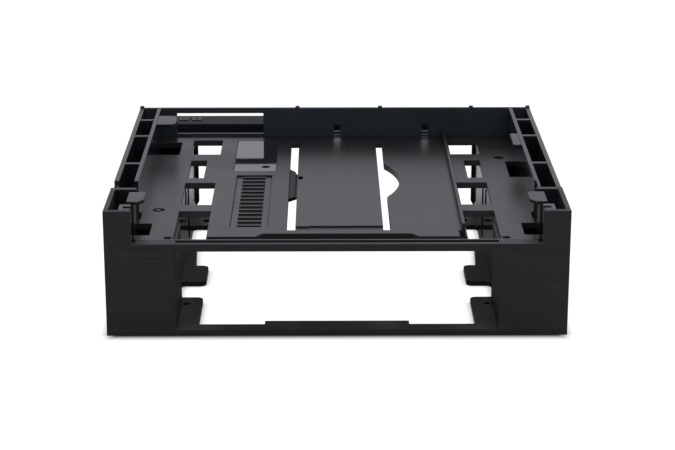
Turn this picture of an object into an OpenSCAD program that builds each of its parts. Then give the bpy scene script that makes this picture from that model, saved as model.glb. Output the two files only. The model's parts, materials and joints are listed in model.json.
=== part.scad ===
/* [Overall] */
// Width across the front bezel
width = 146; // [145:0.1:148]
// Depth from the front face to the back of the tray wall
tray_depth = 130; // [128:0.5:134]
// How far the rear shelf reaches behind the tray wall
shelf_reach = 18.7; // [17:0.1:20]
// Height of the side walls
height = 41.3; // [40.5:0.1:42.5]

/* [Walls] */
// Thickness of the front wall of the bezel
front_wall = 1.8; // [1.4:0.1:1.9]
// Thickness of the outer side walls
side_wall = 1.6; // [1.2:0.1:1.8]
// Step in from the bezel to the side walls behind it
bezel_step = 0.3; // [0:0.1:0.5]
// Thickness of the tray's inner walls
inner_wall = 1.4; // [1.2:0.1:1.8]
// Thickness of the tray's rear wall
rear_wall_t = 1.3; // [1:0.1:1.8]
// Half the clear width of the tray
tray_half = 64.8; // [64.4:0.1:65]

/* [Lower bay] */
// Half the clear width of the front opening
opening_half = 51.05; // [50.9:0.05:51.5]
// Half the width between the bay walls
bay_half = 52.4; // [52:0.1:52.6]
// Thickness of the bay walls
bay_wall = 1.5; // [1.2:0.1:1.8]
// Thickness of the floor tabs
tab_t = 1.8; // [1.4:0.1:2]
// How far in from the centre plane the tabs start
tab_reach = 44.2; // [43:0.1:46]

/* [Deck] */
// Height of the deck's top face
deck_top = 30.5; // [30.3:0.1:31]
// Thickness of the deck
deck_t = 2.2; // [1.8:0.1:2.4]
// Left and right edges of the centre plate
plate_x = [-13.3, 14.85];
// Left edge of the left slot and right edge of the right slot
slot_x = [-16.1, 17.2];
// Front and rear ends of the slots
slot_y = [14.3, 119.5];
// How far the centre plate's face stands above the deck
plate_rise = 0.5; // [0.2:0.1:0.6]

/* [Fixings] */
// Bore of the side mounting holes for M3 screws
side_bore = 3; // [2.5:0.1:3.4]
// Distance of the first side hole from the front face
side_hole_y = 47.4; // [46:0.1:49]
// Spacing of the side holes along the depth
side_hole_pitch = 79.2; // [78:0.1:79.3]
// Heights of the two rows of side holes
side_hole_z = [10, 21.84];
// Spacing of the drive screw holes across the floor tabs
drive_pitch = 95.25; // [94:0.25:96]
// Bore of the drive screw holes
drive_bore = 3.4; // [3:0.1:3.6]

/* [Hidden] */
$fn = 48;

left = -1;
right = 1;
over = 1;                       // overshoot of every cut
half_w = width / 2;
body_half = half_w - bezel_step;
depth = tray_depth + shelf_reach;
deck_low = deck_top - deck_t;
inner_y = tray_depth - rear_wall_t;
tray_out = tray_half + inner_wall;
rail_out = bay_half + bay_wall;

bezel_y = [23.7, 26];           // rear wall of the bezel's pillars
sill_depth = 5.2;
sill_h = 2;
sill_tab = [23.1, 8.2];         // half width and depth of the sill's middle
bar_low = 28;                   // underside of the crossbar
bar_depth = 4.1;
groove_y = 1.9;
groove_half = 50.8;
groove_floor = 29.2;
pillar_in = 64.4;               // inner edge of the upper pillars
pillar_round = 1.2;             // round bead on the pillar's inner corner

channel_floor = 28.9;           // sunk channel along the deck's front edge
channel_y = [5.2, 7.7, 10.8];
channel_half = [41, 26, 23.6];

skin_y = [16.7, 124];           // raised face of the centre plate
skin_hole = [[-13, -11.5], [69.9, 73.5]];
skin_step = [-9, 17.2];         // cut along its front edge: left x, rear y
catch_z = [28.3, 29.6];         // catch between the left slot's edges
catch_deck_y = [51.5, 87.2];
catch_plate_y = [54.6, 82.4];
catch_groove = [0.7, 29];       // groove beside the plate: width, floor

rib_x = [40, 41];               // guide rib on the deck
rib_y = 14;
rib_h = 2.3;
rib_pocket_x = [39, 40.8];      // blind pocket in front of the rib
rib_pocket_floor = 28.9;

// Windows in each half of the deck: near x, far x, front y, rear y
windows = [
    [41.4, 51.8, 5.2, 34.8],
    [41.6, 51.9, 41.8, 67.4],
    [46.0, 51.6, 73.3, 95.4],
    [41.7, 52.3, 103.4, 122.8]
];
notch_y = 70.8;                 // thumb notch beside the right slot
notch_reach = 4.8;
notch_half = 20.1;
notch_facets = 180;

leaf_x = [64.4, 65.6];          // spring leaf of a front latch
leaf_y = [11, 20];
leaf_root = 8;
leaf_slot = [9.4, 21.5];
leaf_base = [0, 7.1];           // heights of the block under a leaf
hook_t = 1.1;
hook_in = 61.1;
hook_out = 66.6;
hook_y = [10.2, 21];
hook_front_cut = [1.8, 2.6];    // chamfers on the hook's inner corners
hook_rear_cut = 0.8;

// Rear hooks and the deck cut-outs under them: inner edge, front, rear
left_hook = [57.9, 105.4, 117.6];
right_hook = [61.9, 77, 92.2];
left_hook_r = 1.8;
right_hook_r = 1;
left_relief = [56.6, 103.2, 119.8];
right_relief = [60.7, 74, 93.6];
front_relief = 59.6;

// Round holes in the deck: x, y, diameter
corner_holes = [53.5, 6.6, 2.6];        // one on each side
right_hole = [58.9, 98.7, 3.6];
label_hole = [-24.8, 87.5, 3];
ring = [-58.7, 36.2];                   // sunk ring
ring_d = [1.8, 3.9];
corner_cut = [63.5, 2.4, 5];            // small cut beside each pillar: near x, front y, rear y

rib_rows = [54.6, 89.6, 111.8]; // ribs between the outer and inner walls
web_rows = [40, 65, 98];        // webs under the deck, out to the bay walls
rib_t = 2;
boss_d = 6;
wall_gap_y = [26, 33.5];        // gap in the inner walls behind the pillars
wall_notch_floor = 39.6;        // notch beside it in the left outer wall
deck_gap_x = 63.9;              // how far the gap reaches into the deck
gap_bridge = 0.9;               // width of the bridge over the right gap

badge_x = [-34.5, -22.2];
badge_y = [17.6, 76.7];
badge_bars = 14;
label_x = [-36, -20.9];
label_y = [82, 122.4];
inlay_gap = 0.2;
inlay_depth = 0.5;
badge_depth = 0.9;
badge_t = 0.3;
bar_w = 0.8;
bar_top = 30.4;
bar_inset = 2;                  // from the badge's edge to the end of a bar
label_t = 0.4;

connector_x = [-59, -26.8];     // window in the rear wall
connector_z = [31.5, 39.3];
eye_x = [0.8, 33.6];            // square eyes in the rear wall
eye_w = 2.4;
eye_z = [32.3, 34.8];
slit_z = [30.9, 31.6];
nub_x = [-14, 16.8, 50.8];
nub_w = 1.5;
nub_h = 0.65;

shelf_top = 33.2;
shelf_t = 1.5;
shelf_ledge = 6.3;               // from the rear wall to the step up to the shelf
shelf_ribs = [-32, 0, 32];
screw_y = 143;
screw_x = [-57.4, -52.6];
screw_d = 3;
screw_head_d = 3.8;
screw_head_h = 0.4;
screw_l = 4;
screw_recess = [1.8, 0.35];     // width and depth of the square driver recess

socket_out = 68.4;              // cover sockets on the pillars
socket_rear = 7.7;
socket_slot = [67.1, 3.4, 5.4];

lining_y = 28.5;                // rear edge of the lining inside the front opening
lip = 1;                        // lip along the rear end of a bay wall
lip_low = [3.2, 5];             // heights of the slanted cut at its lower end
tab_y = [[5.2, 31], [46.4, 63.2], [108.5, 125]];
tab_round = 2;
tab_fillet = 1.6;               // hollow corner between a tab and its wall
flange_x = [48.4, 49.7];        // inner edge of the tapered flange behind the middle tab
flange_rear = 86;
screw_hole_y = 114.3;           // drive screw holes in the rear tabs
pin_hole = [49.5, 24.6, 2.2];   // pin holes in the front tabs: x, y, diameter
nip = 0.3;                      // upright ribs on the bay walls that grip the device
nip_w = 1.2;
long_nip = [86.5, 4.5, 24];     // y, low and high end
short_nip = [74, 16, 26];

// Box between two places on each axis; y is measured from the front face
module slab(x, y, z) {
    translate([x[0], y[0] - depth / 2, z[0]])
        cube([x[1] - x[0], y[1] - y[0], z[1] - z[0]]);
}

// Rectangle in plan between two places on each axis
module plan(x, y) {
    translate([x[0], y[0] - depth / 2]) square([x[1] - x[0], y[1] - y[0]]);
}

// Raises a plan shape between two heights
module raise(z) {
    translate([0, 0, z[0]]) linear_extrude(z[1] - z[0]) children();
}

module disc(x, y, d) {
    translate([x, y - depth / 2]) circle(d = d);
}

// Draws its children on the right, or mirrored on the left
module on_side(side) {
    if (side < 0) mirror([1, 0, 0]) children();
    else children();
}

module both_sides() {
    for (side = [left, right]) on_side(side) children();
}

// Rectangle in plan whose inner corners are rounded
module tongue(x, y, r, round_front = true) {
    plan([x[0] + r, x[1]], y);
    plan([x[0], x[1]], [round_front ? y[0] + r : y[0], y[1] - r]);
    disc(x[0] + r, y[1] - r, 2 * r);
    if (round_front) disc(x[0] + r, y[0] + r, 2 * r);
}

module bezel_pillar() {
    slab([opening_half, half_w], [0, front_wall], [0, deck_top]);
    slab([pillar_in, half_w], [0, front_wall], [deck_top, height]);
    slab([half_w - side_wall, half_w], [front_wall, bezel_y[1]], [0, height]);
    slab([opening_half, rail_out], [front_wall, sill_depth], [0, bar_low]);
    slab([opening_half, bay_half], [sill_depth, lining_y], [tab_t, deck_low]);
    slab([rail_out, half_w - side_wall], bezel_y, [0, deck_low]);
    slab([tray_half, half_w - side_wall], bezel_y, [deck_low, height]);
    slab([tray_half, tray_out], [front_wall, leaf_slot[0]], [0, deck_top]);
    slab([leaf_x[0], tray_out], leaf_slot, leaf_base);
    slab([tray_half, tray_out], [leaf_slot[1], bezel_y[0]], [0, deck_top]);
    raise([deck_top, height])
        disc(tray_half, (bezel_y[0] + bezel_y[1]) / 2, pillar_round);
}

module front_bezel() {
    color("#26292b") union() {
        both_sides() bezel_pillar();
        difference() {
            slab([-tray_half, tray_half], [0, bar_depth], [bar_low, deck_top]);
            slab([-groove_half, groove_half], [groove_y, bar_depth + over], [groove_floor, height]);
            both_sides()
                slab([corner_cut[0], half_w], [corner_cut[1], bar_depth + over], [bar_low - over, height]);
        }
        slab([-opening_half, opening_half], [0, sill_depth], [0, sill_h]);
        slab([-sill_tab[0], sill_tab[0]], [sill_depth, sill_tab[1]], [0, sill_h]);
    }
}

// Everything that is cut right through the deck
module deck_cuts() {
    r = (notch_half * notch_half + notch_reach * notch_reach) / (2 * notch_reach);
    both_sides() {
        for (w = windows) plan([w[0], w[1]], [w[2], w[3]]);
        plan([front_relief, tray_half + over], leaf_slot);
        disc(corner_holes[0], corner_holes[1], corner_holes[2]);
        plan([corner_cut[0], tray_half + over], [bar_depth - over, corner_cut[2]]);
    }
    both_sides() plan([deck_gap_x, tray_half + over], wall_gap_y);
    plan(slot_x, slot_y);
    intersection() {
        disc(slot_x[1] + notch_reach - r, notch_y, 2 * r, $fn = notch_facets);
        plan([slot_x[1] - over, slot_x[1] + 2 * notch_reach], [0, tray_depth]);
    }
    plan([-tray_half - over, -left_relief[0]], [left_relief[1], left_relief[2]]);
    plan([right_relief[0], tray_half + over], [right_relief[1], right_relief[2]]);
    disc(right_hole[0], right_hole[1], right_hole[2]);
    disc(label_hole[0], label_hole[1], label_hole[2]);
}

module front_channel() {
    raise([channel_floor, height]) {
        plan([-channel_half[0], channel_half[0]], [channel_y[0], channel_y[1]]);
        translate([0, -depth / 2]) polygon([
            [-channel_half[1], channel_y[1]], [channel_half[1], channel_y[1]],
            [channel_half[2], channel_y[2]], [-channel_half[2], channel_y[2]]
        ]);
    }
}

module tray_deck() {
    color("#303336") difference() {
        raise([deck_low, deck_top]) difference() {
            plan([-tray_half, tray_half], [bar_depth, inner_y]);
            deck_cuts();
        }
        front_channel();
        slab(badge_x, badge_y, [deck_top - badge_depth, height]);
        slab(label_x, label_y, [deck_top - inlay_depth, height]);
        slab(rib_pocket_x, [channel_y[0], rib_y], [rib_pocket_floor, height]);
        raise([deck_top - inlay_depth, height]) difference() {
            disc(ring[0], ring[1], ring_d[1]);
            disc(ring[0], ring[1], ring_d[0]);
        }
    }
}

module centre_plate() {
    color("#34373a") difference() {
        union() {
            slab(plate_x, slot_y, [deck_low, deck_top]);
            slab(plate_x, skin_y, [deck_top, deck_top + plate_rise]);
        }
        slab(skin_hole[0], skin_hole[1], [deck_low - over, height]);
        slab([skin_step[0], plate_x[1] + over], [skin_y[0] - over, skin_step[1]], [deck_top, height]);
    }
}

module plate_catch() {
    color("#2c2f32") difference() {
        raise(catch_z) translate([0, -depth / 2]) polygon([
            [slot_x[0], catch_deck_y[0]], [plate_x[0], catch_plate_y[0]],
            [plate_x[0], catch_plate_y[1]], [slot_x[0], catch_deck_y[1]]
        ]);
        slab([plate_x[0] - catch_groove[0], plate_x[0] + over], catch_deck_y, [catch_groove[1], height]);
    }
}

// Outer and inner wall of one side with the ribs and screw bosses between them
module side_frame() {
    gap = [tray_out, body_half - side_wall];
    difference() {
        union() {
            slab([gap[1], body_half], [bezel_y[1], inner_y], [0, height]);
            slab([tray_half, gap[0]], [bezel_y[1], inner_y], [0, height]);
            for (y = rib_rows) slab(gap, [y - rib_t / 2, y + rib_t / 2], [0, height]);
            for (y = web_rows) slab([rail_out, gap[0]], [y - rib_t / 2, y + rib_t / 2], [0, deck_low]);
            intersection() {
                side_holes(gap[0] - inner_wall / 2, gap[1] + side_wall / 2, boss_d);
                slab([0, half_w], [bezel_y[1], inner_y], [0, height]);
            }
        }
        side_holes(gap[0] - inner_wall / 4, half_w + over, side_bore);
    }
}

module side_holes(x0, x1, d) {
    for (y = [side_hole_y, side_hole_y + side_hole_pitch], z = side_hole_z)
        translate([x0, y - depth / 2, z]) rotate([0, 90, 0]) cylinder(h = x1 - x0, d = d);
}

module left_side_wall() {
    color("#2a2d2f") difference() {
        on_side(left) side_frame();
        slab([-half_w, -tray_half + over], wall_gap_y, [wall_notch_floor, height + over]);
        slab([-tray_out - over, -tray_half + over], wall_gap_y, [deck_low, height + over]);
    }
}

module right_side_wall() {
    color("#2a2d2f") difference() {
        on_side(right) side_frame();
        slab([tray_half - over, tray_out + over], wall_gap_y, [deck_low, wall_notch_floor]);
        slab([tray_half - over, tray_out - gap_bridge], wall_gap_y, [deck_low, height + over]);
    }
}

module rear_wall() {
    y = [inner_y, tray_depth];
    color("#1e2123") union() {
        difference() {
            slab([-body_half, body_half], y, [deck_low, height]);
            slab(connector_x, [y[0] - over, y[1] + over], connector_z);
            for (x = eye_x, z = [eye_z, slit_z])
                slab([x - eye_w / 2, x + eye_w / 2], [y[0] - over, y[1] + over], z);
        }
        both_sides() slab([rail_out, body_half], y, [0, deck_low]);
        for (x = nub_x) slab([x - nub_w / 2, x + nub_w / 2], y, [height, height + nub_h]);
        both_sides() slab([body_half - nub_w, body_half], y, [height, height + nub_h]);
    }
}

// Ledge behind the rear wall that steps up to a shelf, open underneath
module rear_shelf() {
    x = [-tray_half, tray_half];
    web_y = tray_depth + shelf_ledge;
    color("#303336") difference() {
        union() {
            slab(x, [tray_depth, web_y], [deck_low, deck_low + shelf_t]);
            slab(x, [web_y, depth], [shelf_top - shelf_t, shelf_top]);
            for (y = [web_y, depth - shelf_t]) slab(x, [y, y + shelf_t], [deck_low, shelf_top]);
            both_sides() slab([tray_half - shelf_t, tray_half], [web_y, depth], [deck_low, shelf_top]);
            for (x = shelf_ribs)
                slab([x - shelf_t / 2, x + shelf_t / 2], [web_y, depth], [deck_low, shelf_top]);
        }
        for (x = screw_x) raise([deck_low, height]) disc(x, screw_y, screw_d);
    }
}

// Lip along the rear end of a bay wall, its lower end cut at a slant
module rail_lip() {
    x = bay_half - lip;
    translate([0, tray_depth - depth / 2, 0]) rotate([90, 0, 0]) linear_extrude(rear_wall_t)
        polygon([[bay_half, lip_low[0]], [bay_half, deck_low], [x, deck_low], [x, lip_low[1]]]);
}

// Upright rib on the inner face of a bay wall: y, low and high end
module rail_nip(at) {
    slab([bay_half - nip, bay_half], [at[0] - nip_w / 2, at[0] + nip_w / 2], [at[1], at[2]]);
}

// Hollow corner in plan where an edge at y meets a bay wall; along is +1 towards the rear
module wall_fillet(y, along) {
    far = y + along * tab_fillet;
    difference() {
        plan([bay_half - tab_fillet, bay_half], [min(y, far), max(y, far)]);
        disc(bay_half - tab_fillet, far, 2 * tab_fillet);
    }
}

module bay_rail() {
    difference() {
        union() {
            slab([bay_half, rail_out], [sill_depth, tray_depth], [0, deck_low]);
            rail_lip();
            raise([0, tab_t]) {
                tongue([tab_reach, bay_half], tab_y[0], tab_round, false);
                tongue([tab_reach, bay_half], tab_y[1], tab_round);
                tongue([tab_reach, bay_half], tab_y[2], tab_round);
                wall_fillet(tab_y[0][1], 1);
                wall_fillet(tab_y[1][0], -1);
                wall_fillet(tab_y[2][0], -1);
                translate([0, -depth / 2]) polygon([
                    [bay_half, tab_y[1][1] - tab_round], [flange_x[0], tab_y[1][1] - tab_round],
                    [flange_x[1], flange_rear], [bay_half, flange_rear]
                ]);
            }
            rail_nip(long_nip);
            rail_nip(short_nip);
        }
        raise([-over, tab_t + over]) {
            disc(drive_pitch / 2, screw_hole_y, drive_bore);
            disc(pin_hole[0], pin_hole[1], pin_hole[2]);
        }
    }
}

module left_bay_rail() {
    color("#2b2e30") on_side(left) bay_rail();
}

module right_bay_rail() {
    color("#2b2e30") on_side(right) bay_rail();
}

// Spring leaf with a hook at its top that snaps over the edge of the drive
module front_latch() {
    slab(leaf_x, leaf_y, [leaf_root, height - hook_t]);
    translate([(leaf_x[0] + leaf_x[1]) / 2, leaf_y[0] - depth / 2, leaf_root])
        rotate([-90, 0, 0]) cylinder(h = leaf_y[1] - leaf_y[0], d = leaf_x[1] - leaf_x[0]);
    raise([height - hook_t, height]) translate([0, -depth / 2]) polygon([
        [hook_out, hook_y[0]], [hook_in + hook_front_cut[0], hook_y[0]],
        [hook_in, hook_y[0] + hook_front_cut[1]], [hook_in, hook_y[1] - hook_rear_cut],
        [hook_in + hook_rear_cut, hook_y[1]], [hook_out, hook_y[1]]
    ]);
}

module left_front_latch() {
    color("#3a3d40") on_side(left) front_latch();
}

module right_front_latch() {
    color("#3a3d40") on_side(right) front_latch();
}

module left_rear_hook() {
    color("#3a3d40") on_side(left) raise([height - hook_t, height])
        tongue([left_hook[0], tray_half], [left_hook[1], left_hook[2]], left_hook_r);
}

module right_rear_hook() {
    color("#3a3d40") on_side(right) raise([height - hook_t, height])
        tongue([right_hook[0], tray_half], [right_hook[1], right_hook[2]], right_hook_r);
}

// Socket at the top of a pillar that takes the snap arm of a cover
module cover_socket() {
    difference() {
        slab([tray_half, socket_out], [front_wall, socket_rear], [deck_top, height]);
        slab([tray_half - over, socket_slot[0]], [socket_slot[1], socket_slot[2]],
             [deck_top - over, height + over]);
    }
}

module left_cover_socket() {
    color("#2a2d2f") on_side(left) cover_socket();
}

module right_cover_socket() {
    color("#2a2d2f") on_side(right) cover_socket();
}

module guide_rib() {
    color("#303336") slab(rib_x, [rib_y, inner_y], [deck_top, deck_top + rib_h]);
}

// Plain badge with a row of grip bars
module name_plate() {
    x = [badge_x[0] + inlay_gap, badge_x[1] - inlay_gap];
    y = [badge_y[0] + inlay_gap, badge_y[1] - inlay_gap];
    z = deck_top - badge_depth;
    pitch = (y[1] - y[0]) / badge_bars;
    color("#3c3f42") union() {
        slab(x, y, [z, z + badge_t]);
        for (i = [0 : badge_bars - 1])
            raise([z + badge_t, bar_top])
                bar(x[0] + bar_inset, x[1] - bar_inset, y[0] + (i + 0.5) * pitch, bar_w);
    }
}

// Bar across x with round ends, in plan
module bar(x0, x1, y, w) {
    plan([x0 + w / 2, x1 - w / 2], [y - w / 2, y + w / 2]);
    disc(x0 + w / 2, y, w);
    disc(x1 - w / 2, y, w);
}

module label_pad() {
    z = deck_top - inlay_depth;
    color("#4a4c50") raise([z, z + label_t]) difference() {
        plan([label_x[0] + inlay_gap, label_x[1] - inlay_gap],
             [label_y[0] + inlay_gap, label_y[1] - inlay_gap]);
        disc(label_hole[0], label_hole[1], label_hole[2]);
    }
}

module shelf_screws() {
    color("#55585b") for (x = screw_x) {
        raise([shelf_top - screw_l, shelf_top]) disc(x, screw_y, screw_d);
        difference() {
            raise([shelf_top, shelf_top + screw_head_h]) disc(x, screw_y, screw_head_d);
            slab([x - screw_recess[0] / 2, x + screw_recess[0] / 2],
                 [screw_y - screw_recess[0] / 2, screw_y + screw_recess[0] / 2],
                 [shelf_top + screw_head_h - screw_recess[1], height]);
        }
    }
}

front_bezel();
tray_deck();
centre_plate();
plate_catch();
left_side_wall();
right_side_wall();
rear_wall();
rear_shelf();
left_bay_rail();
right_bay_rail();
left_front_latch();
right_front_latch();
left_rear_hook();
right_rear_hook();
left_cover_socket();
right_cover_socket();
guide_rib();
name_plate();
label_pad();
shelf_screws();
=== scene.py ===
"""Looks of the drive bay adapter bracket: moulded edges, plastics and a white studio."""

import json
import math

import bmesh
import bpy
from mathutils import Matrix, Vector

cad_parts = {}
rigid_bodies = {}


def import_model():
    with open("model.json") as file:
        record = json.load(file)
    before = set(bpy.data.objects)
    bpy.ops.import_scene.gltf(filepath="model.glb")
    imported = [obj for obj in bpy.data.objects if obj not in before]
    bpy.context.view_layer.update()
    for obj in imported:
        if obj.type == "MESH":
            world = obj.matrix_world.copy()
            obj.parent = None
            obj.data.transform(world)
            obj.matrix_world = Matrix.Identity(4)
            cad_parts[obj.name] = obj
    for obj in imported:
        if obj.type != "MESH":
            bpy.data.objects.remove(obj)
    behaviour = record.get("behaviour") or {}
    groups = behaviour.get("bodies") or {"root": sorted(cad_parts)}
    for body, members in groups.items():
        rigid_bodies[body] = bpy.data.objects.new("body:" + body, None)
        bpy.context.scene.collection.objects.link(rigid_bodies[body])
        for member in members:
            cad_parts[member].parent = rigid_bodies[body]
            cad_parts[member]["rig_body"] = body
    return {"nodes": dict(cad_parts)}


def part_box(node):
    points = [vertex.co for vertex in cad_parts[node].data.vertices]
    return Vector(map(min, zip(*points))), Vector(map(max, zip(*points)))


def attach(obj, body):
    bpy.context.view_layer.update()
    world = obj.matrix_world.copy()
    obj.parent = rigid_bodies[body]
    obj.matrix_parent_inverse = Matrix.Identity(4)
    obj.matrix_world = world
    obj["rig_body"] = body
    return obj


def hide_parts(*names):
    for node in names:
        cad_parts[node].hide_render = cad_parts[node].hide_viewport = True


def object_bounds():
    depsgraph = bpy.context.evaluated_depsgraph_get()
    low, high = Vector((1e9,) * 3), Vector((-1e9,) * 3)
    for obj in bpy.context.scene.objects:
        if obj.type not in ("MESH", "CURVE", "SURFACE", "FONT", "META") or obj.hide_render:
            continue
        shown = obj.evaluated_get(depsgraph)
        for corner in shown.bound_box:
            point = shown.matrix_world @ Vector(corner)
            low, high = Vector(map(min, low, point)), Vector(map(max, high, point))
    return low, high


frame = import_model()
nodes = frame["nodes"]
cad_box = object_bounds()
LOW, HIGH = cad_box
MM = 0.001
MIX_A, MIX_B, MIX_RESULT = 6, 7, 2      # colour sockets of the Mix node

MERGE_GAP = 0.003 * MM          # corners of a CAD mesh closer than this are one
OUTLINE_GAP = 0.01 * MM         # how far an edge may lie from its node's box and still be on it
FLAT_TURN = math.radians(1)     # faces that meet at less than this are one flat face
ROUNDED_TURN = math.radians(35)     # edges that turn by more than this are rounded
CREASE_TURN = math.radians(50)      # edges that turn by more than this stay sharp in shading

FLOOR_SIZE = 8
FLOOR_PLACE = (0, 1.5, 0)
FLOOR_GREY = 0.6                # what the table throws back on the part
FLOOR_GLOW = 1.1                # how bright the table shows to the camera
FLOOR_AO_REACH = 3 * MM
SHADE_REACH = 6.2 * MM          # how far the shade runs out in front of the bezel
SHADE_DEPTH = 0.95              # how much of the table's light it takes at the foot
SHADE_FALL = 1.8                # how quickly it fades with distance

CAMERA_LENS = 104.5
CAMERA_SIDE = -3.68 * MM        # from the centre plane
CAMERA_AWAY = 581 * MM          # in front of the bezel
CAMERA_HEIGHT = 223.5 * MM
CAMERA_TILT = math.radians(17.816)      # downwards
CAMERA_TURN = math.radians(-0.372)


# ---------------------------------------------------------------- materials

def new_material(name):
    """Material with its node tree and its main shader."""
    material = bpy.data.materials.new(name)
    material.use_nodes = True
    tree = material.node_tree
    return material, tree, tree.nodes["Principled BSDF"]


def noise(tree, stretch, detail=3.0, rough=0.6):
    """Noise in the part's own frame; stretch is how many cycles a metre holds along each axis."""
    where = tree.nodes.new("ShaderNodeTexCoord")
    mapping = tree.nodes.new("ShaderNodeMapping")
    mapping.inputs["Scale"].default_value = stretch
    made = tree.nodes.new("ShaderNodeTexNoise")
    made.inputs["Scale"].default_value = 1.0
    made.inputs["Detail"].default_value = detail
    made.inputs["Roughness"].default_value = rough
    tree.links.new(where.outputs["Object"], mapping.inputs["Vector"])
    tree.links.new(mapping.outputs["Vector"], made.inputs["Vector"])
    return made.outputs["Fac"]


def spread(tree, source, low, high, start=0.3, end=0.7):
    """Maps noise onto the range from low to high."""
    made = tree.nodes.new("ShaderNodeMapRange")
    made.inputs["From Min"].default_value = start
    made.inputs["From Max"].default_value = end
    made.inputs["To Min"].default_value = low
    made.inputs["To Max"].default_value = high
    tree.links.new(source, made.inputs["Value"])
    return made.outputs["Result"]


def between(tree, source, dark, light):
    """Colour between dark and light, as the source goes from 0 to 1; dark may be a socket."""
    made = tree.nodes.new("ShaderNodeMix")
    made.data_type = "RGBA"
    if isinstance(dark, bpy.types.NodeSocket):
        tree.links.new(dark, made.inputs[MIX_A])
    else:
        made.inputs[MIX_A].default_value = (*dark, 1)
    made.inputs[MIX_B].default_value = (*light, 1)
    tree.links.new(source, made.inputs["Factor"])
    return made.outputs[MIX_RESULT]


def maths(tree, operation, *values):
    """Result of one operation on sockets or numbers."""
    made = tree.nodes.new("ShaderNodeMath")
    made.operation = operation
    for socket, value in zip(made.inputs, values):
        if isinstance(value, bpy.types.NodeSocket):
            tree.links.new(value, socket)
        else:
            socket.default_value = value
    return made.outputs[0]


def upright(tree):
    """0 on level faces, 1 on faces that stand up, in the part's own frame."""
    where = tree.nodes.new("ShaderNodeTexCoord")
    axes = tree.nodes.new("ShaderNodeSeparateXYZ")
    tree.links.new(where.outputs["Normal"], axes.inputs[0])
    return maths(tree, "SUBTRACT", 1.0, maths(tree, "ABSOLUTE", axes.outputs["Z"]))


def relief(tree, shader, height, strength, distance):
    """Bumps the shader's surface by a height map."""
    bump = tree.nodes.new("ShaderNodeBump")
    bump.inputs["Strength"].default_value = strength
    bump.inputs["Distance"].default_value = distance
    tree.links.new(height, bump.inputs["Height"])
    tree.links.new(bump.outputs["Normal"], shader.inputs["Normal"])


def moulded(name, dark, light, gloss, grain=0.1, ior=1.45, side_gloss=None, upright_painted_light=0.0):
    """Black moulded plastic: fine spark-eroded grain, slightly uneven gloss and colour.

    If asked, upright faces take side_gloss as roughness and a lighter grey: painted light for the light
    they catch.
    """
    material, tree, shader = new_material(name)
    shader.inputs["IOR"].default_value = ior
    clouds = noise(tree, (60, 60, 60))
    fine = noise(tree, (1500, 1500, 1500), 2)
    paint = between(tree, spread(tree, clouds, 0, 1), dark, light)
    rough = spread(tree, clouds, gloss[0], gloss[1])
    if side_gloss is not None:
        side = upright(tree)
        # painted light: upright faces are painted the light grey plus the lift, standing in for the light
        # they catch
        paint = between(tree, side, paint, [value + upright_painted_light for value in light])
        rough = maths(tree, "ADD", rough, maths(tree, "MULTIPLY", side, side_gloss - gloss[1]))
    tree.links.new(paint, shader.inputs["Base Color"])
    tree.links.new(rough, shader.inputs["Roughness"])
    relief(tree, shader, fine, grain, 0.02 * MM)
    return material


def brushed(name, dark, light, gloss, stretch, strength, ior=1.45):
    """Moulded plastic whose faces carry fine straight lines along the axis with the smallest stretch."""
    material, tree, shader = new_material(name)
    shader.inputs["IOR"].default_value = ior
    lines = noise(tree, stretch, 4, 0.7)
    tree.links.new(between(tree, spread(tree, lines, 0, 1), dark, light), shader.inputs["Base Color"])
    tree.links.new(spread(tree, lines, gloss[0], gloss[1]), shader.inputs["Roughness"])
    relief(tree, shader, lines, strength, 0.05 * MM)
    return material


def steel(name):
    """Blackened steel, a little worn."""
    material, tree, shader = new_material(name)
    shader.inputs["Metallic"].default_value = 1.0
    worn = noise(tree, (900, 900, 900))
    tree.links.new(between(tree, spread(tree, worn, 0, 1), (0.05, 0.05, 0.055), (0.16, 0.16, 0.17)),
                   shader.inputs["Base Color"])
    tree.links.new(spread(tree, worn, 0.28, 0.45), shader.inputs["Roughness"])
    return material


LOOKS = {
    "bezel": brushed("brushed_bezel", (0.006, 0.007, 0.0078), (0.026, 0.0285, 0.031), (0.32, 0.58),
                     (25, 60, 1500), 1.2),
    # painted light: the deck's upright faces are painted 0.03 lighter than its light grey
    "deck": moulded("satin_deck", (0.009, 0.009, 0.0105), (0.013, 0.013, 0.0148), (0.28, 0.32), 0.0,
                    side_gloss=0.4, upright_painted_light=0.03),
    "plate": brushed("brushed_plate", (0.008, 0.008, 0.0095), (0.014, 0.014, 0.0158), (0.26, 0.32),
                     (2800, 25, 300), 0.08),
    "frame": moulded("satin_frame", (0.014, 0.0155, 0.017), (0.020, 0.022, 0.024), (0.30, 0.36), 0.05, 1.55,
                     side_gloss=0.16),
    "catch": brushed("brushed_catch", (0.002, 0.002, 0.0025), (0.014, 0.014, 0.016), (0.42, 0.7),
                     (1600, 30, 300), 0.5),
    # painted light: the rear wall's grey is several times lighter than the other black plastics, standing
    # in for light on its front face
    "rear": moulded("lightened_rear_frame", (0.036, 0.046, 0.052), (0.046, 0.058, 0.066), (0.34, 0.42), 0.05),
    "shelf": moulded("matt_shelf", (0.010, 0.012, 0.013), (0.015, 0.017, 0.019), (0.62, 0.7), 0.2, 1.33),
    "rail": moulded("gloss_rail", (0.012, 0.013, 0.0145), (0.016, 0.017, 0.0185), (0.56, 0.6), 0.02, 1.55,
                    side_gloss=0.1),
    "hook": moulded("satin_hook", (0.010, 0.010, 0.0115), (0.015, 0.015, 0.0168), (0.26, 0.34)),
    "pad": moulded("polished_pad", (0.012, 0.012, 0.015), (0.015, 0.015, 0.019), (0.04, 0.06), 0.0, 2.2),
    "steel": steel("blackened_steel"),
}


# ---------------------------------------------------------------- moulded pieces

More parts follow.
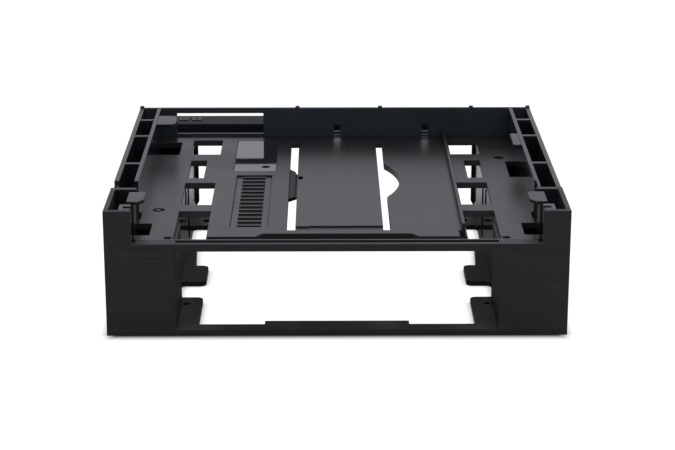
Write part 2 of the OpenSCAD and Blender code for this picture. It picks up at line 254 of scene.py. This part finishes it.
def on_outline(edge, low, high):
    """True where an edge lies on one of the four sides of a node's box, against its neighbours."""
    ends = [corner.co for corner in edge.verts]
    return any(all(abs(end[axis] - limit[axis]) < OUTLINE_GAP for end in ends)
               for axis in (0, 1) for limit in (low, high))


def rounded_copy(name, edge, inner, joined):
    """Copy of a CAD node whose edges are rounded by edge millimetres.

    Inner corners are rounded too if inner is set; a joined node keeps its outline sharp, so that
    it runs into its neighbours without a seam.
    """
    low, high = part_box(name)
    mesh = nodes[name].data.copy()
    made = bmesh.new()
    made.from_mesh(mesh)
    bmesh.ops.remove_doubles(made, verts=made.verts, dist=MERGE_GAP)
    bmesh.ops.dissolve_limit(made, angle_limit=FLAT_TURN, verts=made.verts, edges=made.edges)
    sharp = [line for line in made.edges
             if line.calc_face_angle_signed() > ROUNDED_TURN
             or (inner and line.calc_face_angle() > ROUNDED_TURN)]
    if joined:
        sharp = [line for line in sharp if not on_outline(line, low, high)]
    bmesh.ops.bevel(made, geom=sharp, offset=edge * MM, offset_type="OFFSET", segments=2,
                    profile=0.5, affect="EDGES", clamp_overlap=False)
    for face in made.faces:
        face.smooth = True
    for crease in made.edges:
        crease.smooth = crease.calc_face_angle() < CREASE_TURN
    made.to_mesh(mesh)
    made.free()
    return mesh


def moulding(name, piece_name, look, edge, inner=True, joined=False):
    """Piece that stands for a CAD node, rides on its body and has its edges rounded."""
    piece = bpy.data.objects.new(piece_name, rounded_copy(name, edge, inner, joined))
    bpy.context.scene.collection.objects.link(piece)
    piece.data.materials.clear()
    piece.data.materials.append(LOOKS[look])
    weighted = piece.modifiers.new("even_normals", "WEIGHTED_NORMAL")
    weighted.keep_sharp = True
    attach(piece, nodes[name]["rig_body"])
    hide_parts(name)
    return piece


SIDES = ("left", "right")

moulding("front_bezel", "bezel_moulding", "bezel", 0.22, inner=False)
moulding("tray_deck", "deck_moulding", "deck", 0.15, inner=False, joined=True)
moulding("centre_plate", "plate_moulding", "plate", 0.12)
moulding("plate_catch", "catch_moulding", "catch", 0.12)
moulding("rear_wall", "rear_wall_moulding", "rear", 0.15)
moulding("rear_shelf", "shelf_moulding", "shelf", 0.2)
moulding("guide_rib", "rib_moulding", "deck", 0.2)
moulding("name_plate", "grip_badge", "hook", 0.08)
moulding("label_pad", "polished_label", "pad", 0.06)
moulding("shelf_screws", "screw_pair", "steel", 0.1)
for side in SIDES:
    moulding(f"{side}_side_wall", f"{side}_wall_moulding", "frame", 0.2)
    moulding(f"{side}_bay_rail", f"{side}_rail_moulding", "rail", 0.15, inner=False)
    moulding(f"{side}_front_latch", f"{side}_latch_moulding", "hook", 0.22)
    moulding(f"{side}_rear_hook", f"{side}_hook_moulding", "hook", 0.25)
    moulding(f"{side}_cover_socket", f"{side}_socket_moulding", "frame", 0.15)


# ---------------------------------------------------------------- studio

def front_shade(tree):
    """Thin shade on the table along the bezel's foot: a factor that is 1 outside it."""
    place = tree.nodes.new("ShaderNodeNewGeometry")
    axes = tree.nodes.new("ShaderNodeSeparateXYZ")
    tree.links.new(place.outputs["Position"], axes.inputs[0])
    reach = spread(tree, axes.outputs["Y"], 1, 0, LOW.y - SHADE_REACH, LOW.y)
    behind = spread(tree, axes.outputs["Y"], 0, 1, LOW.y + 1 * MM, LOW.y + 2 * MM)
    off_centre = maths(tree, "ABSOLUTE", axes.outputs["X"])
    beside = spread(tree, off_centre, 0, 1, HIGH.x - 3 * MM, HIGH.x + 2 * MM)
    away = maths(tree, "MAXIMUM", maths(tree, "MAXIMUM", reach, behind), beside)
    depth = maths(tree, "POWER", maths(tree, "SUBTRACT", 1.0, away), SHADE_FALL)
    return maths(tree, "SUBTRACT", 1.0, maths(tree, "MULTIPLY", depth, SHADE_DEPTH))


def floor():
    """White table, which glows evenly to the camera apart from painted shade near the part and along the
    bezel's foot, and throws back less light than it shows.
    """
    bpy.ops.mesh.primitive_plane_add(size=FLOOR_SIZE, location=FLOOR_PLACE)
    plane = bpy.context.object
    plane.name = "studio_floor"
    material, tree, shader = new_material("white_floor")
    shader.inputs["Base Color"].default_value = (FLOOR_GREY, FLOOR_GREY, FLOOR_GREY, 1)
    shader.inputs["Roughness"].default_value = 1.0
    shader.inputs["Specular IOR Level"].default_value = 0.0
    near = tree.nodes.new("ShaderNodeAmbientOcclusion")
    near.inputs["Distance"].default_value = FLOOR_AO_REACH
    glow = tree.nodes.new("ShaderNodeEmission")
    # painted shade: the table's glow is darkened by ambient occlusion near the part and by the shade along
    # the bezel's foot
    shade = maths(tree, "MULTIPLY", near.outputs["AO"], front_shade(tree))
    tree.links.new(maths(tree, "MULTIPLY", shade, FLOOR_GLOW), glow.inputs["Strength"])
    path = tree.nodes.new("ShaderNodeLightPath")
    choice = tree.nodes.new("ShaderNodeMixShader")
    tree.links.new(path.outputs["Is Camera Ray"], choice.inputs[0])
    tree.links.new(shader.outputs[0], choice.inputs[1])
    tree.links.new(glow.outputs[0], choice.inputs[2])
    tree.links.new(choice.outputs[0], tree.nodes["Material Output"].inputs["Surface"])
    plane.data.materials.append(material)


def world():
    """Backdrop that is bright behind the part, softer above and beside it, and dim in front."""
    made = bpy.data.worlds.new("studio")
    bpy.context.scene.world = made
    made.use_nodes = True
    tree = made.node_tree
    background = tree.nodes["Background"]
    background.inputs["Color"].default_value = (0.93, 0.92, 1, 1)
    where = tree.nodes.new("ShaderNodeTexCoord")
    axes = tree.nodes.new("ShaderNodeSeparateXYZ")
    tree.links.new(where.outputs["Generated"], axes.inputs[0])
    behind = spread(tree, axes.outputs["Y"], 0.2, 0.74, -0.5, 0.6)
    above = spread(tree, axes.outputs["Z"], 0.0, 0.9, 0.45, 0.9)
    beside = spread(tree, maths(tree, "ABSOLUTE", axes.outputs["X"]), 0.0, 0.6, 0.6, 0.95)
    brightest = maths(tree, "MAXIMUM", maths(tree, "MAXIMUM", behind, above), beside)
    tree.links.new(brightest, background.inputs["Strength"])


def area(name, place, aim, size, power):
    """Rectangular lamp at place that faces aim."""
    light = bpy.data.lights.new(name, "AREA")
    light.shape = "RECTANGLE"
    light.size, light.size_y = size
    light.energy = power
    lamp = bpy.data.objects.new(name, light)
    lamp.location = place
    lamp.rotation_mode = "QUATERNION"
    lamp.rotation_quaternion = (Vector(aim) - Vector(place)).to_track_quat("-Z", "Y")
    bpy.context.scene.collection.objects.link(lamp)


def camera():
    """Camera at the photograph's viewing angle."""
    data = bpy.data.cameras.new("camera")
    data.sensor_width = 36
    data.lens = CAMERA_LENS
    data.clip_start, data.clip_end = 0.01, 20
    view = bpy.data.objects.new("camera", data)
    view.location = (CAMERA_SIDE, LOW.y - CAMERA_AWAY, CAMERA_HEIGHT)
    view.rotation_euler = (math.pi / 2 - CAMERA_TILT, 0, CAMERA_TURN)
    bpy.context.scene.collection.objects.link(view)
    bpy.context.scene.camera = view


camera()
floor()
world()
area("overhead", (0.4, 0, 1.2), (0, 0, 0), (1.6, 1.2), 4.5)
bpy.context.scene.view_settings.view_transform = "Standard"
